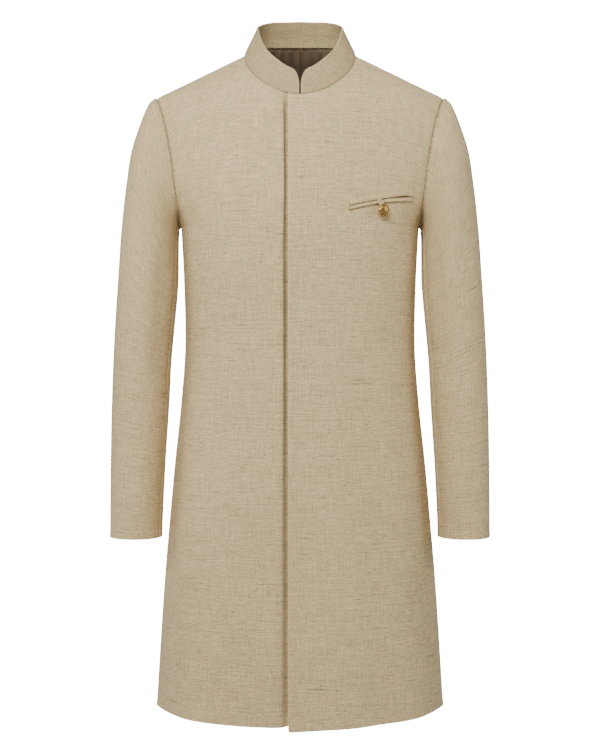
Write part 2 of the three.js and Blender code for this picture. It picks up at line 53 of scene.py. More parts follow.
# %% [markdown]
# ## Sizes used on every piece
# Two plies of linen with fusing between them come to a little under 1.5 mm. A seam draws the cloth
# in by about a millimetre, and most seams turn 2 mm further in at their very edge. Loose edges are
# turned over and pressed, which leaves them rounded. Depths and widths of such small things are
# named here where more than one piece uses them, and beside their own piece where only one does.

# %% Sizes, in metres
CLOTH = 0.0014
BAND = 0.0011
LINING = 0.0008
STRIP = 0.0012
EDGE_ROUND = 0.00045
SEAM_PINCH = 0.0011
SEAM_WIDTH = 0.0026
SEAM_TURN = 0.0020
SEAM_TURN_WIDTH = 0.0010
WORN_WIDTH = 0.0022
FOLD_AT, FOLD_WIDTH, HEM_FOLD = 0.004, 0.005, 0.0005
ALLOWANCE_AT, ALLOWANCE_WIDTH, ALLOWANCE_LIFT = 0.009, 0.004, 0.0004
WALL_RIM, STRIP_RIM = 0.00172, 0.0015
ROW_STEP = 0.0055
COLUMN_STEP = 0.0042
BORDER_STEPS = (0.0007, 0.0015, 0.0024, 0.0034, 0.0052)

# %% [markdown]
# ## Reading a solid's outer face
# Each solid is a wall: an outer face, an inner face and a narrow rim between them. The outer face
# is a net of rows and columns of points, like chalk lines on a dress form. Taking the rim away
# leaves two faces, and the one that looks outwards is read row by row. A maker would pin cloth to
# the same lines. This keeps each shell exactly on its solid and gives it clean rows and columns.

# %% Helpers that read a wall
def outer_triangles(node, middle, rim_edge=WALL_RIM):
    """The outer face of a wall as merged points and triangles. middle gives the tube's centre near
    a point, and rim_edge is a little more than the wall's thickness, by which the rim is known."""
    bm = bmesh.new()
    bm.from_mesh(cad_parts[node].data)
    bmesh.ops.remove_doubles(bm, verts=bm.verts, dist=2e-5)
    rim = [f for f in bm.faces if min(e.calc_length() for e in f.edges) < rim_edge]
    bmesh.ops.delete(bm, geom=rim, context="FACES")
    bm.faces.ensure_lookup_table()
    bm.faces.index_update()
    seen, best = set(), None
    for first in bm.faces:
        if first.index in seen:
            continue
        patch, queue = [], [first]
        seen.add(first.index)
        while queue:
            face = queue.pop()
            patch.append(face)
            for edge in face.edges:
                for other in edge.link_faces:
                    if other.index not in seen:
                        seen.add(other.index)
                        queue.append(other)
        outward = 0.0
        for face in patch:
            centre = face.calc_center_median()
            outward += face.calc_area() * face.normal.dot(centre - Vector(middle(centre)))
        if outward > 0 and (best is None or len(patch) > len(best)):
            best = patch
    triangles = [[v.index for v in f.verts] for f in best]
    points = np.array([v.co[:] for v in bm.verts], float)
    bm.free()
    return points, triangles


def border_loop(triangles):
    """The directed border edges of a face, as {from: to}."""
    edges = {}
    for t in triangles:
        for a, b in zip(t, t[1:] + t[:1]):
            edges[(a, b)] = True
    return {a: b for a, b in edges if (b, a) not in edges}


def read_net(node, middle, rim_edge=WALL_RIM):
    """The outer face of a wall as an array of points [row, column]. Rows run up, except on some
    pieces that are wider than they are high, which upright turns afterwards."""
    points, triangles = outer_triangles(node, middle, rim_edge)
    following = border_loop(triangles)
    corner_sum = {}
    for t in triangles:
        for k in range(3):
            at, a, b = points[t[k]], points[t[k - 1]], points[t[(k + 1) % 3]]
            u, v = a - at, b - at
            cosine = u.dot(v) / (np.linalg.norm(u) * np.linalg.norm(v))
            corner_sum[t[k]] = corner_sum.get(t[k], 0.0) + math.acos(max(-1.0, min(1.0, cosine)))
    loop = [next(iter(following))]
    while following[loop[-1]] != loop[0]:
        loop.append(following[loop[-1]])
    sharp = sorted(sorted(range(len(loop)), key=lambda k: corner_sum[loop[k]])[:8])
    sides = None
    for picks in itertools.combinations(sharp, 4):
        counts = [(b - a) % len(loop) for a, b in zip(picks, picks[1:] + picks[:1])]
        fits = counts[0] == counts[2] and counts[1] == counts[3]
        if fits and 2 * counts[0] * counts[1] == len(triangles):
            sides = [[loop[(a + k) % len(loop)] for k in range(n + 1)] for a, n in zip(picks, counts)]
            break
    bottom = min(sides, key=lambda s: points[s, 2].mean())
    left = next(s for s in sides if s[-1] == bottom[0])[::-1]
    owner = {}
    for index, t in enumerate(triangles):
        for a, b in zip(t, t[1:] + t[:1]):
            owner[(a, b)] = index
    net = [bottom]
    for j in range(1, len(left)):
        row, below = [left[j]], net[-1]
        for i in range(len(below) - 1):
            a, b, d = below[i], below[i + 1], row[i]
            third = next(v for v in triangles[owner[(a, b)]] if v not in (a, b))
            if third == d:
                third = next(v for v in triangles[owner[(d, b)]] if v not in (b, d))
            row.append(third)
        net.append(row)
    return points[np.array(net)]


def upright(net):
    """The same net with its rows lying level, whichever way it was read."""
    across, up = (net[:, -1] - net[:, 0]).mean(0), (net[-1] - net[0]).mean(0)
    if abs(up[2]) * np.linalg.norm(across) >= abs(across[2]) * np.linalg.norm(up):
        return net
    return net[::-1].transpose(1, 0, 2) if across[2] > 0 else net.transpose(1, 0, 2)[::-1]


def body_middle(p):
    return (0.0, 0.0, p.z)


def sleeve_middle(p):
    down = max(0.0, -0.1 - p.z) / 0.65
    return (math.copysign(0.222 + 0.032 * down, p.x), -0.024 * down ** 2, p.z)


def pocket_middle(p):
    return (p.x, 1.0, p.z)


# %% [markdown]
# ## From chalk lines to smooth cloth
# A smooth curve is drawn through every row and then through every column. At the neck point of the
# shoulder and at the underarm the edge of a piece turns sharply, so there the curve is allowed to
# break. Points are set closer together beside the borders, where the seam rolls in.

# %% Helpers that smooth a net
def sharp_turns(line, limit=0.66):
    """Which points along a line turn by more than limit, in radians."""
    d = np.diff(line, axis=0)
    d /= np.linalg.norm(d, axis=1)[:, None]
    turn = np.arccos(np.clip((d[1:] * d[:-1]).sum(1), -1, 1))
    return np.concatenate([[False], turn > limit, [False]])


def slopes(values, places, sharp):
    """Slopes before and after each station along axis 0. sharp marks where they differ."""
    h = np.diff(places)
    shape = (-1,) + (1,) * (values.ndim - 1)
    rise = np.diff(values, axis=0) / h.reshape(shape)
    if len(values) == 2:
        both = np.repeat(rise, 2, axis=0)
        return both, both.copy()
    before = np.empty_like(values)
    h0, h1 = h[:-1].reshape(shape), h[1:].reshape(shape)
    before[1:-1] = (h1 * rise[:-1] + h0 * rise[1:]) / (h0 + h1)
    before[0] = 1.5 * rise[0] - 0.5 * before[1]
    before[-1] = 1.5 * rise[-1] - 0.5 * before[-2]
    after = before.copy()
    mark = np.zeros(values.shape[:-1], bool) | sharp
    before[1:][mark[1:]] = rise[mark[1:]]
    after[:-1][mark[:-1]] = rise[mark[:-1]]
    return before, after


def hermite(values, before, after, places, wanted):
    """Values along axis 0 at the wanted places, on smooth curves through the stations."""
    k = np.clip(np.searchsorted(places, wanted, side="right") - 1, 0, len(places) - 2)
    span = places[k + 1] - places[k]
    t = (wanted - places[k]) / span
    shape = (-1,) + (1,) * (values.ndim - 1)
    t, span = t.reshape(shape), span.reshape(shape)
    return (
        values[k] * (2 * t**3 - 3 * t**2 + 1) + after[k] * span * (t**3 - 2 * t**2 + t)
        + values[k + 1] * (3 * t**2 - 2 * t**3) + before[k + 1] * span * (t**3 - t**2)
    )


def stations(places, step, finer=None):
    """Places close to step apart that keep every station, closer together beside both ends.
    finer = (from, to, step) asks for closer places in one stretch, given as shares of the whole.
    Where a piece is narrower than twice the last border step, the places of its two ends pass each
    other, so the net folds back over itself. The pocket's strips and strap do this, as a fault."""
    out = []
    whole = places[-1] - places[0]
    for a, b in zip(places[:-1], places[1:]):
        middle = ((a + b) / 2 - places[0]) / whole
        wanted = finer[2] if finer and finer[0] < middle < finer[1] else step
        count = max(1, round((b - a) / wanted))
        out += [a + (b - a) * k / count for k in range(count)]
    out.append(places[-1])
    low, high = places[0], places[-1]
    inner = [p for p in out if low + BORDER_STEPS[-1] * 1.3 < p < high - BORDER_STEPS[-1] * 1.3]
    return np.array([low] + [low + s for s in BORDER_STEPS] + inner
                    + [high - s for s in reversed(BORDER_STEPS)] + [high])


def smooth_net(net, row_step=ROW_STEP, column_step=COLUMN_STEP, finer=(None, None)):
    """The dense net [row, column] on smooth curves through the coarse one."""
    rows, columns = net.shape[:2]
    across = np.median(np.linalg.norm(np.diff(net, axis=1), axis=2), axis=0)
    along = np.median(np.linalg.norm(np.diff(net, axis=0), axis=2), axis=1)
    u = np.concatenate([[0], np.cumsum(across)])
    v = np.concatenate([[0], np.cumsum(along)])
    sharp_u = np.zeros((columns, rows), bool)
    sharp_u[:, 0] = sharp_turns(net[0])
    sharp_u[:, -1] = sharp_turns(net[-1])
    sharp_v = np.zeros((rows, columns), bool)
    sharp_v[:, 0] = sharp_turns(net[:, 0])
    sharp_v[:, -1] = sharp_turns(net[:, -1])
    before_v, after_v = slopes(net, v, sharp_v)
    wanted_u, wanted_v = stations(u, column_step, finer[1]), stations(v, row_step, finer[0])
    dense = []
    for field in (net, before_v, after_v):
        turned = field.transpose(1, 0, 2)
        before_u, after_u = slopes(turned, u, sharp_u)
        dense.append(hermite(turned, before_u, after_u, u, wanted_u).transpose(1, 0, 2))
    return hermite(dense[0], dense[1], dense[2], v, wanted_v)


def directions(p):
    """The outward direction at each point of a dense net."""
    across = np.gradient(p, axis=1)
    along = np.gradient(p, axis=0)
    n = np.cross(across, along)
    return n / np.maximum(np.linalg.norm(n, axis=2), 1e-12)[:, :, None]


def edge_distances(p):
    """Distance along the cloth from the left, right, bottom and top borders."""
    du = np.linalg.norm(np.diff(p, axis=1), axis=2)
    dv = np.linalg.norm(np.diff(p, axis=0), axis=2)
    left = np.concatenate([np.zeros((len(p), 1)), np.cumsum(du, 1)], 1)
    low = np.concatenate([np.zeros((1, p.shape[1])), np.cumsum(dv, 0)], 0)
    return left, left[:, -1:] - left, low, low[-1:] - low


def rounded_corner(p, from_side, from_low, to_side, radius):
    """Draws a loose lower corner in to a quarter circle. to_side is +1 where columns run to it."""
    across = np.gradient(p, axis=1)
    across *= -to_side / np.linalg.norm(across, axis=2)[:, :, None]
    along = np.gradient(p, axis=0)
    along /= np.linalg.norm(along, axis=2)[:, :, None]
    a, b = np.maximum(radius - from_side, 0), np.maximum(radius - from_low, 0)
    out = np.where((a > 0) & (b > 0), np.hypot(a, b), 0)
    excess = np.where(out > radius, 1 - radius / np.maximum(out, 1e-9), 0)
    return across * (a * excess)[:, :, None] + along * (b * excess)[:, :, None]


def bump(distance, width):
    return np.exp(-((distance / width) ** 2))


def seam(distance):
    """How deep a seam draws the cloth in: a soft pinch, and the allowance turned to the inside."""
    return SEAM_PINCH * bump(distance, SEAM_WIDTH) + SEAM_TURN * bump(distance, SEAM_TURN_WIDTH)


def ramp(low, high, value):
    t = np.clip((value - low) / (high - low), 0, 1)
    return t * t * (3 - 2 * t)


# %% [markdown]
# ## Creases
# Pressed linen over a fused front hangs almost flat. What shows is soft: long shallow waves that
# open towards the hem, a few drag lines that run from the underarm, slack at the elbow and the
# inner sleeve. Each crease is a line from one place to another, seen from the front or from the
# back, with a width and a height. A ridge is positive and a trough negative. The back, which
# carries the same kind of cloth, gets creases of the same kind.

# %% Creases: side, from (x, z), to (x, z), width, height, all in metres
BODY_CREASES = [
    # long waves of the skirt, front
    (-1, (-0.150, -0.60), (-0.172, -1.03), 0.024, 0.0030),
    (-1, (-0.098, -0.66), (-0.112, -1.03), 0.030, -0.0026),
    (-1, (-0.058, -0.74), (-0.064, -1.03), 0.022, 0.0016),
    (-1, (0.062, -0.62), (0.074, -1.03), 0.030, 0.0020),
    (-1, (0.112, -0.66), (0.128, -1.03), 0.026, -0.0030),
    (-1, (0.152, -0.58), (0.178, -1.03), 0.024, 0.0028),
    # waist, where the front is taken in
    (-1, (-0.150, -0.42), (-0.070, -0.47), 0.016, -0.0011),
    (-1, (0.150, -0.43), (0.082, -0.475), 0.016, -0.0010),
    (-1, (-0.160, -0.36), (-0.105, -0.345), 0.014, 0.0009),
    # drag lines from the underarm
    (-1, (-0.178, -0.262), (-0.120, -0.215), 0.013, -0.0016),
    (-1, (-0.172, -0.300), (-0.112, -0.270), 0.015, 0.0012),
    (-1, (0.180, -0.285), (0.135, -0.300), 0.014, -0.0012),
    # below the shoulder
    (-1, (-0.150, -0.098), (-0.100, -0.150), 0.020, -0.0012),
    (-1, (0.150, -0.100), (0.104, -0.152), 0.020, -0.0012),
    # long waves of the skirt, back
    (1, (-0.140, -0.62), (-0.162, -1.03), 0.026, 0.0032),
    (1, (-0.085, -0.60), (-0.098, -1.03), 0.028, -0.0030),
    (1, (-0.034, -0.70), (-0.040, -1.03), 0.022, 0.0020),
    (1, (0.042, -0.68), (0.050, -1.03), 0.024, 0.0020),
    (1, (0.092, -0.60), (0.108, -1.03), 0.028, -0.0032),
    (1, (0.146, -0.64), (0.168, -1.03), 0.026, 0.0030),
    # small of the back and shoulder blades
    (1, (-0.120, -0.43), (-0.030, -0.452), 0.016, -0.0014),
    (1, (0.122, -0.44), (0.034, -0.462), 0.016, -0.0014),
    (1, (-0.110, -0.475), (-0.020, -0.490), 0.014, 0.0010),
    (1, (0.112, -0.482), (0.030, -0.494), 0.014, 0.0010),
    (1, (-0.176, -0.255), (-0.110, -0.210), 0.015, -0.0016),
    (1, (0.176, -0.255), (0.112, -0.206), 0.015, -0.0016),
]
SLEEVE_CREASES = [
    (-1, (0.206, -0.285), (0.222, -0.520), 0.011, -0.0024),
    (-1, (0.222, -0.250), (0.234, -0.430), 0.013, 0.0013),
    (-1, (0.204, -0.395), (0.262, -0.345), 0.012, -0.0014),
    (-1, (0.207, -0.440), (0.258, -0.405), 0.013, 0.0013),
    (-1, (0.214, -0.505), (0.262, -0.480), 0.012, -0.0011),
    (-1, (0.226, -0.560), (0.240, -0.735), 0.015, 0.0014),
    (-1, (0.262, -0.560), (0.270, -0.735), 0.013, -0.0010),
    (-1, (0.206, -0.232), (0.232, -0.150), 0.012, -0.0011),
    (1, (0.208, -0.290), (0.222, -0.560), 0.012, -0.0022),
    (1, (0.206, -0.430), (0.276, -0.400), 0.012, -0.0016),
    (1, (0.212, -0.470), (0.278, -0.450), 0.013, 0.0016),
    (1, (0.216, -0.520), (0.276, -0.505), 0.012, -0.0014),
    (1, (0.250, -0.580), (0.258, -0.735), 0.014, 0.0012),
]


def crease_height(p, n, creases):
    """The height of the creases at every point, taken along the cloth's own direction."""
    total = np.zeros(p.shape[:2])
    for side, start, end, width, height in creases:
        a, b = np.array(start), np.array(end)
        span = b - a
        length = np.linalg.norm(span)
        place = p[:, :, (0, 2)] - a
        share = np.clip((place @ span) / length**2, 0, 1)
        off = np.linalg.norm(place - share[:, :, None] * span, axis=2)
        fade = ramp(0.0, 0.3, share) * (1 - ramp(0.75, 1.0, share) * (end[1] > -1.0))
        facing = ramp(0.05, 0.55, side * n[:, :, 1])
        total += height * bump(off, width) * fade * facing
    return total


# %% [markdown]
# ## Making a shell from a net
# The dense net becomes the outer face of the cloth. A Solidify modifier gives it its thickness,
# inwards, and a narrow Bevel rounds the cut edge as a pressed fold. Two maps go with it. One is in
# metres along the weave, and the yarn of every cloth follows it. The other, called wear_and_shade,
# is above zero where a loose edge rubs and below zero where it paints shade on a seam, a groove or a
# gather.

# %% Helpers that make a shell
def activate(obj):
    bpy.ops.object.select_all(action="DESELECT")
    obj.select_set(True)
    bpy.context.view_layer.objects.active = obj


def weave_map(p, kind, anchor):
    """Place along the weave, in metres, for every point of a dense net."""
    left, _, low, _ = edge_distances(p)
    column = {"left": 0, "right": -1, "middle": p.shape[1] // 2}[anchor]
    u = left - left[:, column][:, None]
    if kind == "tube":
        v = np.repeat(low[:, column][:, None], p.shape[1], 1) + p[0, column, 2]
        return u, v
    step = np.diff(p, axis=0)
    rise = np.sign(step[:, :, 2]) * np.hypot(step[:, :, 1], step[:, :, 2])
    v = p[:1, :, 2] + np.concatenate([np.zeros((1, p.shape[1])), np.cumsum(rise, 0)], 0)
    return u, v


def make_shell(name, p, thickness, weave, wear_and_shade):
    """A closed shell from a dense net of outer points."""
    rows, columns = p.shape[:2]
    index = np.arange(rows * columns).reshape(rows, columns)
    quads = np.stack([index[:-1, :-1], index[:-1, 1:], index[1:, 1:], index[1:, :-1]], 2)
    mesh = bpy.data.meshes.new(name)
    mesh.from_pydata(p.reshape(-1, 3).tolist(), [], quads.reshape(-1, 4).tolist())
    layer = mesh.uv_layers.new(name="weave")
    corner = np.empty(len(mesh.loops), np.int32)
    mesh.loops.foreach_get("vertex_index", corner)
    uv = np.stack([weave[0].ravel()[corner], weave[1].ravel()[corner]], 1)
    layer.data.foreach_set("uv", uv.ravel().astype(np.float32))
    # the map of rubbed edges and painted shade
    tone_mark = mesh.attributes.new("wear_and_shade", "FLOAT", "POINT")
    tone_mark.data.foreach_set("value", wear_and_shade.ravel().astype(np.float32))
    obj = bpy.data.objects.new(name, mesh)
    bpy.context.scene.collection.objects.link(obj)
    activate(obj)
    wall = obj.modifiers.new("thickness", "SOLIDIFY")
    wall.thickness = thickness
    wall.offset = -1
    wall.use_even_offset = False
    bpy.ops.object.modifier_apply(modifier=wall.name)
    fold = obj.modifiers.new("fold", "BEVEL")
    fold.width = EDGE_ROUND
    fold.segments = 2
    fold.limit_method = "ANGLE"
    fold.angle_limit = math.radians(58)
    bpy.ops.object.modifier_apply(modifier=fold.name)
    bpy.ops.object.shade_smooth()
    return obj


def flat_size(p):
    """Greatest width, greatest length and area of a dense net, for the cut."""
    left, _, low, _ = edge_distances(p)
    a, b = p[1:, 1:] - p[:-1, :-1], p[1:, :-1] - p[:-1, 1:]
    area = 0.5 * np.linalg.norm(np.cross(a, b), axis=2).sum()
    return left[:, -1].max(), low[-1].max(), area


def finish_piece(obj, node, net):
    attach(obj, "root")
    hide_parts(node)
    width, length, area = flat_size(net)
    print(f"{obj.name}: {len(obj.data.polygons)} faces, {width:.4f} x {length:.4f} m, {area:.4f} m2")


# %% [markdown]
# ## Materials: linen, lining and metal
# The linen is a plain weave of uneven yarn. Thick places in the crosswise yarn, called slubs, give
# short level streaks. There are thin lengthwise threads, a few dark flecks of stalk, and a slow
# change of tone over the whole piece. The yarn is laid along the weave map, so it turns with the
# cloth. Edges that rub are a shade lighter, and seams get a line of painted shade. The collar's copy
# of the linen is darker as painted shade, and the lining's dark colour is painted shade too. The
# lining also gets darker downwards, painted shade because little light falls that far into the neck.

# %% Material helpers
class Nodes:
    """Adds and joins shader nodes with few words."""

    def __init__(self, material):
        material.use_nodes = True
        self.tree = material.node_tree
        self.tree.nodes.clear()

    def add(self, kind, inputs=None, **settings):
        node = self.tree.nodes.new(kind)
        for key, value in settings.items():
            setattr(node, key, value)
        for key, value in (inputs or {}).items():
            if isinstance(value, bpy.types.NodeSocket):
                self.tree.links.new(value, node.inputs[key])
            else:
                node.inputs[key].default_value = value
        return node

    def math(self, operation, a, b=0.0, c=0.0):
        return self.add("ShaderNodeMath", {0: a, 1: b, 2: c}, operation=operation).outputs[0]

    def stretched(self, vector, scale, detail=3.0, rough=0.6, shift=(0, 0, 0)):
        """Noise from 0 to 1 on a vector stretched by scale."""
        m = self.add("ShaderNodeMapping", {"Vector": vector, "Scale": scale, "Location": shift})
        return self.add(
            "ShaderNodeTexNoise",
            {"Vector": m.outputs[0], "Scale": 1.0, "Detail": detail, "Roughness": rough},
        ).outputs[0]

    def ramp(self, value, low, high, a=0.0, b=1.0):
        return self.add(
            "ShaderNodeMapRange",
            {"Value": value, "From Min": low, "From Max": high, "To Min": a, "To Max": b},
        ).outputs[0]


def linen_material(name, colour, slub=1.0, fleck=1.0):
    material = bpy.data.materials.new(name)
    g = Nodes(material)
    weave = g.add("ShaderNodeUVMap", uv_map="weave").outputs[0]
    place = g.add("ShaderNodeTexCoord").outputs["Object"]
    speck = g.stretched(weave, (420, 520, 1), 3.0, 0.7)
    fine = g.stretched(weave, (70, 620, 1), 4.0, 0.7)
    long = g.stretched(weave, (13, 300, 1), 4.0, 0.7, (3, 1, 0))
    thread = g.stretched(weave, (560, 24, 1), 3.0, 0.65, (7, 2, 0))
    tone = g.stretched(place, (7, 7, 5), 3.0, 0.6)
    hue = g.stretched(weave, (42, 60, 1), 2.0, 0.6, (1, 4, 0))
    streak = g.stretched(weave, (14, 420, 1), 2.0, 0.5, (9, 3, 0))
    rare = g.stretched(weave, (22, 60, 1), 1.0, 0.5, (2, 9, 0))
    spots = g.stretched(weave, (170, 330, 1), 1.0, 0.5, (11, 5, 0))
    # each part makes the tone lighter or darker by its own share
    value = 1.0
    for part, share in ((speck, 1.60 * slub), (fine, 1.30 * slub), (long, 0.75 * slub),
                        (thread, 0.80 * slub), (tone, 0.24)):
        value = g.math("MULTIPLY_ADD", g.math("SUBTRACT", part, 0.5), share, value)
    dark = g.math("MULTIPLY", g.ramp(streak, 0.60, 0.70), g.ramp(rare, 0.50, 0.60))
    value = g.math("MULTIPLY_ADD", dark, -0.36 * fleck, value)
    value = g.math("MULTIPLY_ADD", g.ramp(spots, 0.70, 0.78), -0.55 * fleck, value)
    # the map lightens rubbed edges and puts painted shade on seams, grooves and gathers
    tone_mark = g.add("ShaderNodeAttribute", attribute_name="wear_and_shade").outputs["Fac"]
    value = g.math("MULTIPLY_ADD", tone_mark, 0.08, value)
    green = (colour[0] * 0.955, colour[1] * 1.015, colour[2] * 0.97, 1.0)
    pink = (colour[0] * 1.01, colour[1] * 0.985, colour[2] * 0.99, 1.0)
    tint = g.add("ShaderNodeMix", {0: g.ramp(hue, 0.38, 0.62), 6: green, 7: pink},
                 data_type="RGBA").outputs[2]
    shade = g.add("ShaderNodeVectorMath", {0: tint, "Scale": value}, operation="SCALE").outputs[0]
    # the two sets of yarn, 0.8 mm apart, pass over and under
    warp = g.add("ShaderNodeTexWave", {"Vector": weave, "Scale": 393.0, "Distortion": 0.0},
                 bands_direction="X").outputs["Fac"]
    weft = g.add("ShaderNodeTexWave", {"Vector": weave, "Scale": 393.0, "Distortion": 0.0},
                 bands_direction="Y").outputs["Fac"]
    yarn = g.math("MULTIPLY", warp, weft)
    height = g.math("MULTIPLY_ADD", yarn, 0.4, g.math("MULTIPLY", fine, 1.2))
    height = g.math("MULTIPLY_ADD", thread, 0.6, height)
    height = g.math("MULTIPLY_ADD", speck, 0.6, height)
    relief = g.add("ShaderNodeBump", {"Strength": 0.5, "Distance": 0.0008, "Height": height})
    rough = g.ramp(fine, 0.2, 0.8, 0.96, 0.84)
    surface = g.add(
        "ShaderNodeBsdfPrincipled",
        {"Base Color": shade, "Roughness": rough, "Normal": relief.outputs[0],
         "Sheen Weight": 0.06, "Sheen Roughness": 0.5, "Specular IOR Level": 0.15},
    )
    g.add("ShaderNodeOutputMaterial", {"Surface": surface.outputs[0]})
    return material


def lining_material(name, colour):
    material = bpy.data.materials.new(name)
    g = Nodes(material)
    weave = g.add("ShaderNodeUVMap", uv_map="weave").outputs[0]
    place = g.add("ShaderNodeTexCoord").outputs["Object"]
    slant = g.add("ShaderNodeMapping", {"Vector": weave, "Rotation": (0, 0, 0.9)}).outputs[0]
    twill = g.add("ShaderNodeTexWave", {"Vector": slant, "Scale": 420.0, "Distortion": 0.4},
                  bands_direction="X").outputs["Fac"]
    tone = g.stretched(place, (30, 30, 14), 3.0, 0.5)
    value = g.math("MULTIPLY_ADD", g.math("SUBTRACT", tone, 0.5), 0.3, 1.0)
    value = g.math("MULTIPLY_ADD", g.math("SUBTRACT", twill, 0.5), 0.08, value)
    # the lining's map puts painted shade in the pleat and the gathers, and lightens the lower edge
    tone_mark = g.add("ShaderNodeAttribute", attribute_name="wear_and_shade").outputs["Fac"]
    value = g.math("MULTIPLY_ADD", tone_mark, 0.25, value)
    # painted shade: less than half as light 32 mm below the seam
    level = g.add("ShaderNodeSeparateXYZ", {0: place}).outputs[2]
    value = g.math("MULTIPLY", value, g.ramp(level, -0.006, 0.026, 0.42, 1.15))
    base = g.add("ShaderNodeRGB")
    base.outputs[0].default_value = (*colour, 1.0)
    shade = g.add("ShaderNodeVectorMath", {0: base.outputs[0], "Scale": value}, operation="SCALE")
    relief = g.add("ShaderNodeBump", {"Strength": 0.3, "Distance": 0.0004, "Height": twill})
    surface = g.add(
        "ShaderNodeBsdfPrincipled",
        {"Base Color": shade.outputs[0], "Roughness": g.ramp(tone, 0.2, 0.8, 0.5, 0.65),
         "Normal": relief.outputs[0], "Sheen Weight": 0.1, "Specular IOR Level": 0.4},
    )
    g.add("ShaderNodeOutputMaterial", {"Surface": surface.outputs[0]})
    return material


def metal_material(name, colour):
    material = bpy.data.materials.new(name)
    g = Nodes(material)
    place = g.add("ShaderNodeTexCoord").outputs["Object"]
    cloud = g.stretched(place, (260, 260, 260), 4.0, 0.6)
    scratch = g.stretched(place, (2600, 500, 900), 3.0, 0.6)
    edge = g.add("ShaderNodeNewGeometry").outputs["Pointiness"]
    tone_mark = g.ramp(edge, 0.47, 0.56)
    dull = (colour[0] * 0.22, colour[1] * 0.17, colour[2] * 0.13, 1.0)
    bright = g.math("MULTIPLY_ADD", cloud, 0.35, g.math("MULTIPLY", tone_mark, 0.75))
    mixed = g.add("ShaderNodeMix", {0: bright, 6: dull, 7: (*colour, 1.0)},
                  data_type="RGBA").outputs[2]
    relief = g.add("ShaderNodeBump", {"Strength": 0.15, "Distance": 0.0002, "Height": scratch})
    surface = g.add(
        "ShaderNodeBsdfPrincipled",
        {"Base Color": mixed, "Metallic": 1.0, "Roughness": g.ramp(cloud, 0.25, 0.75, 0.26, 0.46),
         "Normal": relief.outputs[0]},
    )
    g.add("ShaderNodeOutputMaterial", {"Surface": surface.outputs[0]})
    return material


LINEN = linen_material("linen", (0.60, 0.446, 0.231))
# painted shade: the collar is the coat's linen, made about a quarter darker for the shade it sits in
SHADED_BAND_LINEN = linen_material("linen_band_shaded", (0.45, 0.332, 0.172), slub=0.85, fleck=0.5)
# painted shade: the lining is coloured far darker than the linen, for the shade inside the neck
SHADED_LINING_CLOTH = lining_material("lining_cloth_shaded", (0.19, 0.130, 0.073))
BRASS = metal_material("antique_brass", (0.66, 0.42, 0.14))
print("materials ready")


def dress(obj, material):
    obj.data.materials.clear()
    obj.data.materials.append(material)


# %% [markdown]
# ## The fronts and the backs
# On the real coat each front is one piece from the shoulder to the hem. The left one closes over
# the right one, and its edge is a thick pressed fold that throws a soft shadow on the cloth below.
# The back is two pieces joined down the middle. Here they don't quite meet, which is a fault: a slit
# of about 0.75 mm stays open, and one edge ought to go in under the other. The panels could be
# draped by simulation, but a fused, pressed coat hardly drapes, so the shells are laid on the form
# and the creases set in one by one. The pocket's mouth is a slit, so the left front dips in under it.

# %% Fronts and backs
MOUTH_FROM, MOUTH_TO = 0.0735, 0.1675
CORNER_RADIUS = 0.0045
EDGE_X, VALLEY_WIDTH, VALLEY_DROP = -0.018, 0.0115, 0.0048
MOUTH_DEPTH = 0.0042
TOP_SHADE, TOP_SHADE_WIDTH = 1.5, 0.0014


def mouth_height(x):
    """Height of the pocket's mouth at x: it rises outwards and levels off."""
    part = np.clip((x - 0.072) / 0.097, 0, 1)
    return -0.238 + 0.016 * (1 - (1 - part) ** 1.7)


def mouth_dip(p):
    """The slit of the pocket, as a narrow trough under its mouth."""
    x = p[:, :, 0]
    gape = 0.0010 + 0.0013 * bump(x - 0.154, 0.015)
    inside = ramp(MOUTH_FROM, MOUTH_FROM + 0.003, x) * (1 - ramp(MOUTH_TO - 0.003, MOUTH_TO, x))
    front = p[:, :, 1] < -0.05
    return -MOUTH_DEPTH * inside * front * bump(p[:, :, 2] - mouth_height(x), gape)


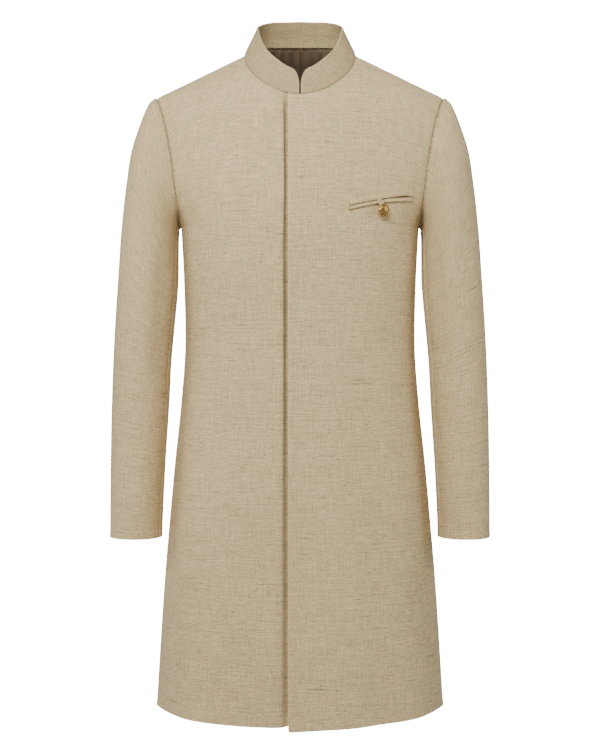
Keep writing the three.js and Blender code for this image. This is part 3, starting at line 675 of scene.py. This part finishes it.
def body_panel(name, side_is, centre):
    net = read_net(name, body_middle)
    finer = {"front_left": ((0.70, 0.86, 0.0012), (0.28, 0.82, 0.0024)),
             "front_right": (None, (0.76, 0.90, 0.0016))}.get(name, (None, None))
    p = smooth_net(net, finer=finer)
    n = directions(p)
    left, right, low, high = edge_distances(p)
    at_side = left if side_is == "left" else right
    at_centre = right if side_is == "left" else left
    is_front = name.startswith("front")
    height = crease_height(p, n, BODY_CREASES)
    # side seam, shoulder, neck and armhole are pinched in
    below_arm = 1 - ramp(-0.26, -0.21, p[:, :, 2])
    drawn = np.maximum(0.8 * seam(at_side) * below_arm, 0.7 * SEAM_PINCH * bump(high, SEAM_WIDTH))
    drawn = np.maximum(drawn, 0.25 * SEAM_PINCH * bump(at_side, SEAM_WIDTH))
    if not is_front:
        drawn = np.maximum(drawn, seam(at_centre))
    height -= drawn
    # the seam allowances inside lift the cloth a little beside each seam
    for distance in (at_side, high):
        height += ALLOWANCE_LIFT * bump(distance - ALLOWANCE_AT, ALLOWANCE_WIDTH)
    # the hem and, on the fronts, the closing edge are folds: slightly fuller than the cloth
    height += HEM_FOLD * bump(low - FOLD_AT, FOLD_WIDTH)
    loose = [low]
    if is_front:
        height += 0.0006 * bump(at_centre - FOLD_AT, FOLD_WIDTH)
        loose.append(at_centre)
    if name == "front_left":
        height += mouth_dip(p)
        height += 0.0007 * bump(at_centre, 0.006)
    if name == "front_right":
        # the under front sinks beside the edge that closes over it, and stays low beneath it
        apart = np.clip((EDGE_X - p[:, :, 0]) / VALLEY_WIDTH, 0, 1)
        height -= VALLEY_DROP * (1 - apart) ** 2 * ramp(0.002, 0.030, high)
    moved = p + n * height[:, :, None]
    if is_front:
        moved += rounded_corner(p, at_centre, low, 1 if centre == "right" else -1, CORNER_RADIUS)
    wear_and_shade = np.maximum.reduce([bump(d, WORN_WIDTH) for d in loose])
    # painted shade along the shoulder, neck and armhole seams
    wear_and_shade -= TOP_SHADE * bump(high, TOP_SHADE_WIDTH)
    obj = make_shell(name + "_cloth", moved, CLOTH, weave_map(p, "body", centre), wear_and_shade)
    dress(obj, LINEN)
    finish_piece(obj, name, p)


body_panel("front_left", "right", "left")
body_panel("front_right", "left", "right")
body_panel("back_left", "left", "right")
body_panel("back_right", "right", "left")

# %% [markdown]
# ## The sleeves
# A tailored sleeve has an upper piece and a narrower under piece. The seams run down the back of
# the arm and just inside the front, so neither shows much. The sleeve hangs with slack at the
# inner elbow. The same two pieces serve both arms, mirrored, each with its own mesh.

# %% Sleeves
HEAD_SINK, HEAD_TUCK = 0.0026, 0.0020
HEAD_SHADE = 4.5


def sleeve_piece(name):
    net = read_net(name, sleeve_middle)
    p = smooth_net(net)
    n = directions(p)
    left, right, low, high = edge_distances(p)
    mirrored = p.copy()
    mirrored[:, :, 0] = np.abs(mirrored[:, :, 0])
    height = crease_height(mirrored, n, SLEEVE_CREASES)
    height *= ramp(0.0, 0.05, high) * ramp(0.0, 0.03, low)
    height -= np.maximum(seam(left), seam(right)) * ramp(0.0, 0.01, high)
    height -= HEAD_SINK * bump(high, 0.0028)
    # the sleeve head stands proud just outside the armhole seam
    height += 0.0003 * bump(high - 0.008, 0.006)
    height += HEM_FOLD * bump(low - FOLD_AT, FOLD_WIDTH)
    moved = p + n * height[:, :, None]
    # its top edge goes in under the body's edge, where it is sewn
    along = np.gradient(p, axis=0)
    along /= np.linalg.norm(along, axis=2)[:, :, None]
    moved += along * (HEAD_TUCK * bump(high, 0.0025))[:, :, None]
    # the cuff edge rubs lighter, and painted shade lies along the armhole seam
    wear_and_shade = bump(low, WORN_WIDTH) - HEAD_SHADE * bump(high - 0.0024, 0.0013)
    obj = make_shell(name + "_cloth", moved, CLOTH, weave_map(p, "tube", "middle"), wear_and_shade)
    dress(obj, LINEN)
    finish_piece(obj, name, p)


for side in ("left", "right"):
    sleeve_piece(f"sleeve_{side}_top")
    sleeve_piece(f"sleeve_{side}_under")

# %% [markdown]
# ## The stand collar
# The collar is two bands sewn together along the top and the ends, then turned and pressed. Both
# bands are built. The outer one rolls over the edge by a hair, so its edge catches the light.

# %% Collar
COLLAR_STEP = 0.0032
INNER_DROP, INNER_SINK = 0.0030, 0.0016
COLLAR_WEAR = 2.4


def collar_band(name, thickness, rolls):
    net = upright(read_net(name, body_middle))
    p = smooth_net(net, COLLAR_STEP, COLLAR_STEP)
    n = directions(p)
    left, right, low, high = edge_distances(p)
    height = -0.0007 * bump(low, 0.002) * rolls
    edges = np.minimum(np.minimum(left, right), high)
    height = height + 0.0004 * bump(edges - 0.003, 0.0035) * rolls
    moved = p + n * height[:, :, None]
    if not rolls:
        # the inner band is sewn down over the top of the lining
        moved += (np.array([0, 0, -INNER_DROP]) - INNER_SINK * n) * bump(low, 0.0060)[:, :, None]
    wear_and_shade = COLLAR_WEAR * bump(edges, 0.0016)
    obj = make_shell(name + "_cloth", moved, thickness, weave_map(p, "tube", "middle"), wear_and_shade)
    dress(obj, SHADED_BAND_LINEN)
    finish_piece(obj, name, p)


collar_band("collar_outer", BAND, 1.0)
collar_band("collar_inner", BAND, 0.0)

# %% [markdown]
# ## The lining behind the neck
# The whole coat is lined, but only the part inside the back of the neck can be seen. It is eased
# on to the collar seam with small gathers and has a pleat down the middle, which lets it give when
# the wearer reaches forward. The gathers are folds that start at the seam and die out lower down,
# and each, like the pleat, gets painted shade a little darker than the cloth between.

# %% Lining
PLEAT_DEPTH, PLEAT_SHADE = 0.0020, 1.6
GATHER_DEPTH, GATHER_SHADE = 0.0022, 1.1
# how far each gather is from the middle, and how full it is
GATHERS = ((-0.082, 0.8), (-0.066, 1.2), (-0.050, 0.9), (-0.033, 1.3), (-0.018, 0.8),
           (0.016, 1.1), (0.031, 0.9), (0.047, 1.3), (0.063, 0.8), (0.079, 1.1))


def neck_lining(name):
    net = read_net(name, body_middle)
    p = smooth_net(net, 0.004, 0.0022)
    n = directions(p)
    _, _, low, high = edge_distances(p)
    weave = weave_map(p, "body", "middle")
    u = weave[0]
    height = -PLEAT_DEPTH * bump(u, 0.0030) * ramp(0.001, 0.006, high)
    # painted shade down the pleat and along each gather; the lower edge a little lighter
    shade = -PLEAT_SHADE * bump(u, 0.0011) + bump(low, 0.002)
    for place, size in GATHERS:
        gather = bump(u - place * (1 + high * 1.5), 0.0042) * bump(high, 0.034)
        height = height - GATHER_DEPTH * size * gather * ramp(0.001, 0.007, high)
        shade = shade - GATHER_SHADE * size * gather
    moved = p + n * height[:, :, None]
    obj = make_shell(name + "_cloth", moved, LINING, weave, shade)
    dress(obj, SHADED_LINING_CLOTH)
    finish_piece(obj, name, p)


neck_lining("back_neck_lining")

# %% [markdown]
# ## The chest pocket
# A double-welt pocket is a slit with a folded strip along each side. The strips are about 6 and 9 mm
# wide and almost meet at the mouth, which gapes slightly. A short strap of the same cloth comes out
# of the mouth and goes down behind the button. Each is a shell on its own solid, like the rest.

# %% Pocket welts and loop
LOOP_EDGES = (0.1161, 0.1245)
RIM_DEPTH, RIM_SHADE, RIM_WIDTH = 0.0014, 3.5, 0.0009
GROOVE_DEPTH, GROOVE_SHADE = 0.0030, 6.0


def pocket_welt(name):
    net = upright(read_net(name, pocket_middle, STRIP_RIM))
    p = smooth_net(net, 0.0008, 0.0010)
    n = directions(p)
    left, right, low, high = edge_distances(p)
    x = p[:, :, 0]
    height = -0.0010 + 0.0004 * np.sin(np.pi * low / (low + high))
    mouth = low if name.endswith("upper") else high
    height -= 0.0009 * bump(mouth, RIM_WIDTH)
    # the seams round the strips are sunk, and painted shade lies along them
    rim = bump(low + high - mouth, RIM_WIDTH) + bump(left, RIM_WIDTH) + bump(right, RIM_WIDTH)
    height -= RIM_DEPTH * rim
    shade = bump(mouth, 0.001) - RIM_SHADE * np.minimum(rim, 1)
    if name.endswith("lower"):
        # the strap presses into the strip and pulls it down beside its edges, where painted shadow
        # lies
        for edge in LOOP_EDGES:
            height -= GROOVE_DEPTH * bump(x - edge, 0.0010) * bump(mouth, 0.010)
            shade = shade - GROOVE_SHADE * bump(x - edge, 0.0008) * bump(mouth, 0.010)
    moved = p + n * height[:, :, None]
    obj = make_shell(name + "_cloth", moved, STRIP, weave_map(p, "tube", "middle"), shade)
    dress(obj, LINEN)
    finish_piece(obj, name, p)


def pocket_strap(name):
    net = upright(read_net(name, pocket_middle, STRIP_RIM))
    p = smooth_net(net, 0.0010, 0.0010)
    n = directions(p)
    left, right, _, high = edge_distances(p)
    # it comes up out of the mouth, arches over the lower strip and goes down behind the button
    arch = 0.0016 * np.sin(np.pi * np.clip(high / 0.0125, 0, 1))
    height = 0.0002 + arch - 0.0030 * bump(high, 0.0016)
    height -= 0.0005 * (bump(left, 0.001) + bump(right, 0.001))
    moved = p + n * height[:, :, None]
    wear_and_shade = bump(left, 0.001)
    obj = make_shell(name + "_cloth", moved, STRIP, weave_map(p, "tube", "middle"), wear_and_shade)
    dress(obj, LINEN)
    finish_piece(obj, name, p)


pocket_welt("pocket_welt_upper")
pocket_welt("pocket_welt_lower")
pocket_strap("pocket_loop")

# %% [markdown]
# ## The button
# A stamped metal button: a domed face with a raised rim and a ring of petals, on a narrow shank
# that takes the thread. It could be turned in one spin. Building it from a cylinder by insets and
# extrusions keeps the rim, the groove and the dome apart, and every second face of the ring can be
# raised as a petal.

# %% Button
HEAD_RADIUS, SHANK_RADIUS = 0.0095, 0.0022
SHANK_SHARE = 0.47


def select_faces(obj, test):
    """Selects, in object mode, the faces whose centre and normal pass the test."""
    bpy.ops.object.mode_set(mode="EDIT")
    bpy.ops.mesh.select_mode(type="FACE")
    bpy.ops.mesh.select_all(action="DESELECT")
    bpy.ops.object.mode_set(mode="OBJECT")
    for f in obj.data.polygons:
        f.select = test(f)
    bpy.ops.object.mode_set(mode="EDIT")


def build_button(node):
    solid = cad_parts[node].data
    points = np.array([v.co[:] for v in solid.vertices])
    shell = points - points.mean(0)
    _, _, axes = np.linalg.svd(shell, full_matrices=False)
    spread = [np.ptp(shell @ a) for a in axes]
    axis = axes[int(np.argmin(np.abs(np.array(spread) - 0.011)))]
    if axis[1] > 0:
        axis = -axis
    along = points @ axis
    head = points[along > along.max() - 0.004].mean(0)
    seat = head + axis * (along.min() - head @ axis)
    height = along.max() - along.min()
    bpy.ops.object.select_all(action="DESELECT")
    bpy.ops.mesh.primitive_cylinder_add(vertices=48, radius=SHANK_RADIUS, depth=height * SHANK_SHARE,
                                        location=(0, 0, height * SHANK_SHARE / 2))
    button = bpy.context.active_object
    button.name = node + "_metal"
    bpy.ops.object.transform_apply(location=True, rotation=True, scale=True)
    top = height * SHANK_SHARE

    def top_face(f):
        return f.normal.z > 0.9 and f.center.z > top - 1e-5 and len(f.vertices) > 8

    centre = (0, 0, 0)
    select_faces(button, top_face)
    # underside of the head, then its wall, then the rim and the groove inside it
    for rise, size in ((0.0003, 3.55), (0.0012, 1.21), (0.0012, 1.0), (0.0007, 0.965), (0.0, 0.94),
                       (-0.0007, 0.955)):
        bpy.ops.mesh.extrude_region_move(TRANSFORM_OT_translate={"value": (0, 0, rise)})
        bpy.ops.transform.resize(value=(size, size, 1), center_override=centre)
    for rise, size in ((0.0009, 0.82), (0.0005, 0.80), (0.0003, 0.66), (0.0005, 0.62), (0.0002, 0.5)):
        bpy.ops.mesh.extrude_region_move(TRANSFORM_OT_translate={"value": (0, 0, rise)})
        bpy.ops.transform.resize(value=(size, size, 1), center_override=centre)
    bpy.ops.object.mode_set(mode="OBJECT")

    def petal(f):
        r = math.hypot(f.center.x, f.center.y)
        turn = math.degrees(math.atan2(f.center.y, f.center.x)) % 45.0
        return f.normal.z > 0.3 and HEAD_RADIUS * 0.42 < r < HEAD_RADIUS * 0.80 and turn < 30.0

    select_faces(button, petal)
    bpy.ops.mesh.extrude_region_shrink_fatten(TRANSFORM_OT_shrink_fatten={"value": 0.00045})
    bpy.ops.object.mode_set(mode="OBJECT")
    soft = button.modifiers.new("soft", "BEVEL")
    soft.width = 0.00012
    soft.segments = 2
    soft.limit_method = "ANGLE"
    soft.angle_limit = math.radians(35)
    bpy.ops.object.modifier_apply(modifier=soft.name)
    bpy.ops.object.shade_smooth_by_angle(angle=math.radians(40))
    turn = Vector((0, 0, 1)).rotation_difference(Vector(axis)).to_matrix().to_4x4()
    turn.translation = Vector(seat) + Vector(axis) * 0.0003
    button.data.transform(turn)
    button.data.update()
    for layer in list(button.data.uv_layers):
        button.data.uv_layers.remove(layer)
    dress(button, BRASS)
    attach(button, "root")
    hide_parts(node)
    print(f"button: {len(button.data.polygons)} faces, head {2000 * HEAD_RADIUS:.1f} mm,",
          f"{1000 * height:.1f} mm high")


build_button("pocket_button")

# %% [markdown]
# ## The cut
# Each piece prints the width, length and area of its flat cut as it is made. The pocket strips, the
# loop and the button sit on the left front, but like every piece they hang from the root.

# %% [markdown]
# ## Light, floor and camera
# A pale floor well below the hem and a lit white backdrop far behind. One soft lamp stands in front,
# above and a little to the left, so that the tone falls off towards the hem and the closing edge
# keeps a shaded valley beside it. A weaker lamp on each side fills the sleeves. The camera stands
# 3 m away, between chest and waist height.

# %% Studio
FLOOR_Z = -3.8
BACKDROP_PLACE, BACKDROP_SIZE, BACKDROP_GLOW = (0, 7.0, -1.15), (3.8, 5.3, 1), 19.0
SURROUND = 0.26
CAMERA_PLACE, CAMERA_TARGET, CAMERA_LENS = (0, -3.0, -0.379), (0, 0, -0.496), 92.3


def build_stage():
    bpy.ops.object.select_all(action="DESELECT")
    bpy.ops.mesh.primitive_plane_add(size=30, location=(0, 0, FLOOR_Z))
    floor = bpy.context.active_object
    floor.name = "floor"
    material = bpy.data.materials.new("pale_floor")
    g = Nodes(material)
    place = g.add("ShaderNodeTexCoord").outputs["Object"]
    tone = g.stretched(place, (2, 2, 2), 2.0, 0.5)
    value = g.ramp(tone, 0.3, 0.7, 0.88, 0.92)
    surface = g.add("ShaderNodeBsdfPrincipled", {"Base Color": value, "Roughness": 0.9})
    g.add("ShaderNodeOutputMaterial", {"Surface": surface.outputs[0]})
    dress(floor, material)


def add_lamp(name, place, target, size, power):
    data = bpy.data.lights.new(name, "AREA")
    data.shape = "RECTANGLE"
    data.size, data.size_y = size
    data.energy = power
    lamp = bpy.data.objects.new(name, data)
    lamp.location = place
    lamp.rotation_euler = (Vector(target) - Vector(place)).to_track_quat("-Z", "Y").to_euler()
    bpy.context.scene.collection.objects.link(lamp)


def build_backdrop():
    """A white paper backdrop a long way behind, lit evenly, which is a panel that glows."""
    bpy.ops.object.select_all(action="DESELECT")
    bpy.ops.mesh.primitive_plane_add(size=1, location=BACKDROP_PLACE,
                                     rotation=(math.radians(90), 0, 0))
    paper = bpy.context.active_object
    paper.name = "backdrop"
    paper.scale = BACKDROP_SIZE
    bpy.ops.object.transform_apply(location=True, rotation=True, scale=True)
    material = bpy.data.materials.new("lit_paper")
    g = Nodes(material)
    glow = g.add("ShaderNodeEmission", {"Color": (1, 1, 1, 1), "Strength": BACKDROP_GLOW})
    g.add("ShaderNodeOutputMaterial", {"Surface": glow.outputs[0]})
    dress(paper, material)


build_stage()
build_backdrop()
add_lamp("key", (-0.45, -2.05, 1.15), (0, 0, -0.25), (1.3, 0.9), 88)
add_lamp("side_left", (-2.6, -0.7, 0.40), (0, 0, -0.3), (0.9, 1.4), 25)
add_lamp("side_right", (2.6, -0.7, 0.40), (0, 0, -0.3), (0.9, 1.4), 25)
world = bpy.data.worlds.new("surround")
world.use_nodes = True
world.node_tree.nodes["Background"].inputs[0].default_value = (1, 1, 1, 1)
world.node_tree.nodes["Background"].inputs[1].default_value = SURROUND
bpy.context.scene.world = world

camera_data = bpy.data.cameras.new("camera")
camera_data.lens = CAMERA_LENS
camera_data.sensor_width = 36
camera = bpy.data.objects.new("camera", camera_data)
camera.location = CAMERA_PLACE
aim = Vector(CAMERA_TARGET) - camera.location
camera.rotation_euler = aim.to_track_quat("-Z", "Y").to_euler()
bpy.context.scene.collection.objects.link(camera)
bpy.context.scene.camera = camera
print("camera 3.0 m away, lens", camera_data.lens, "mm")
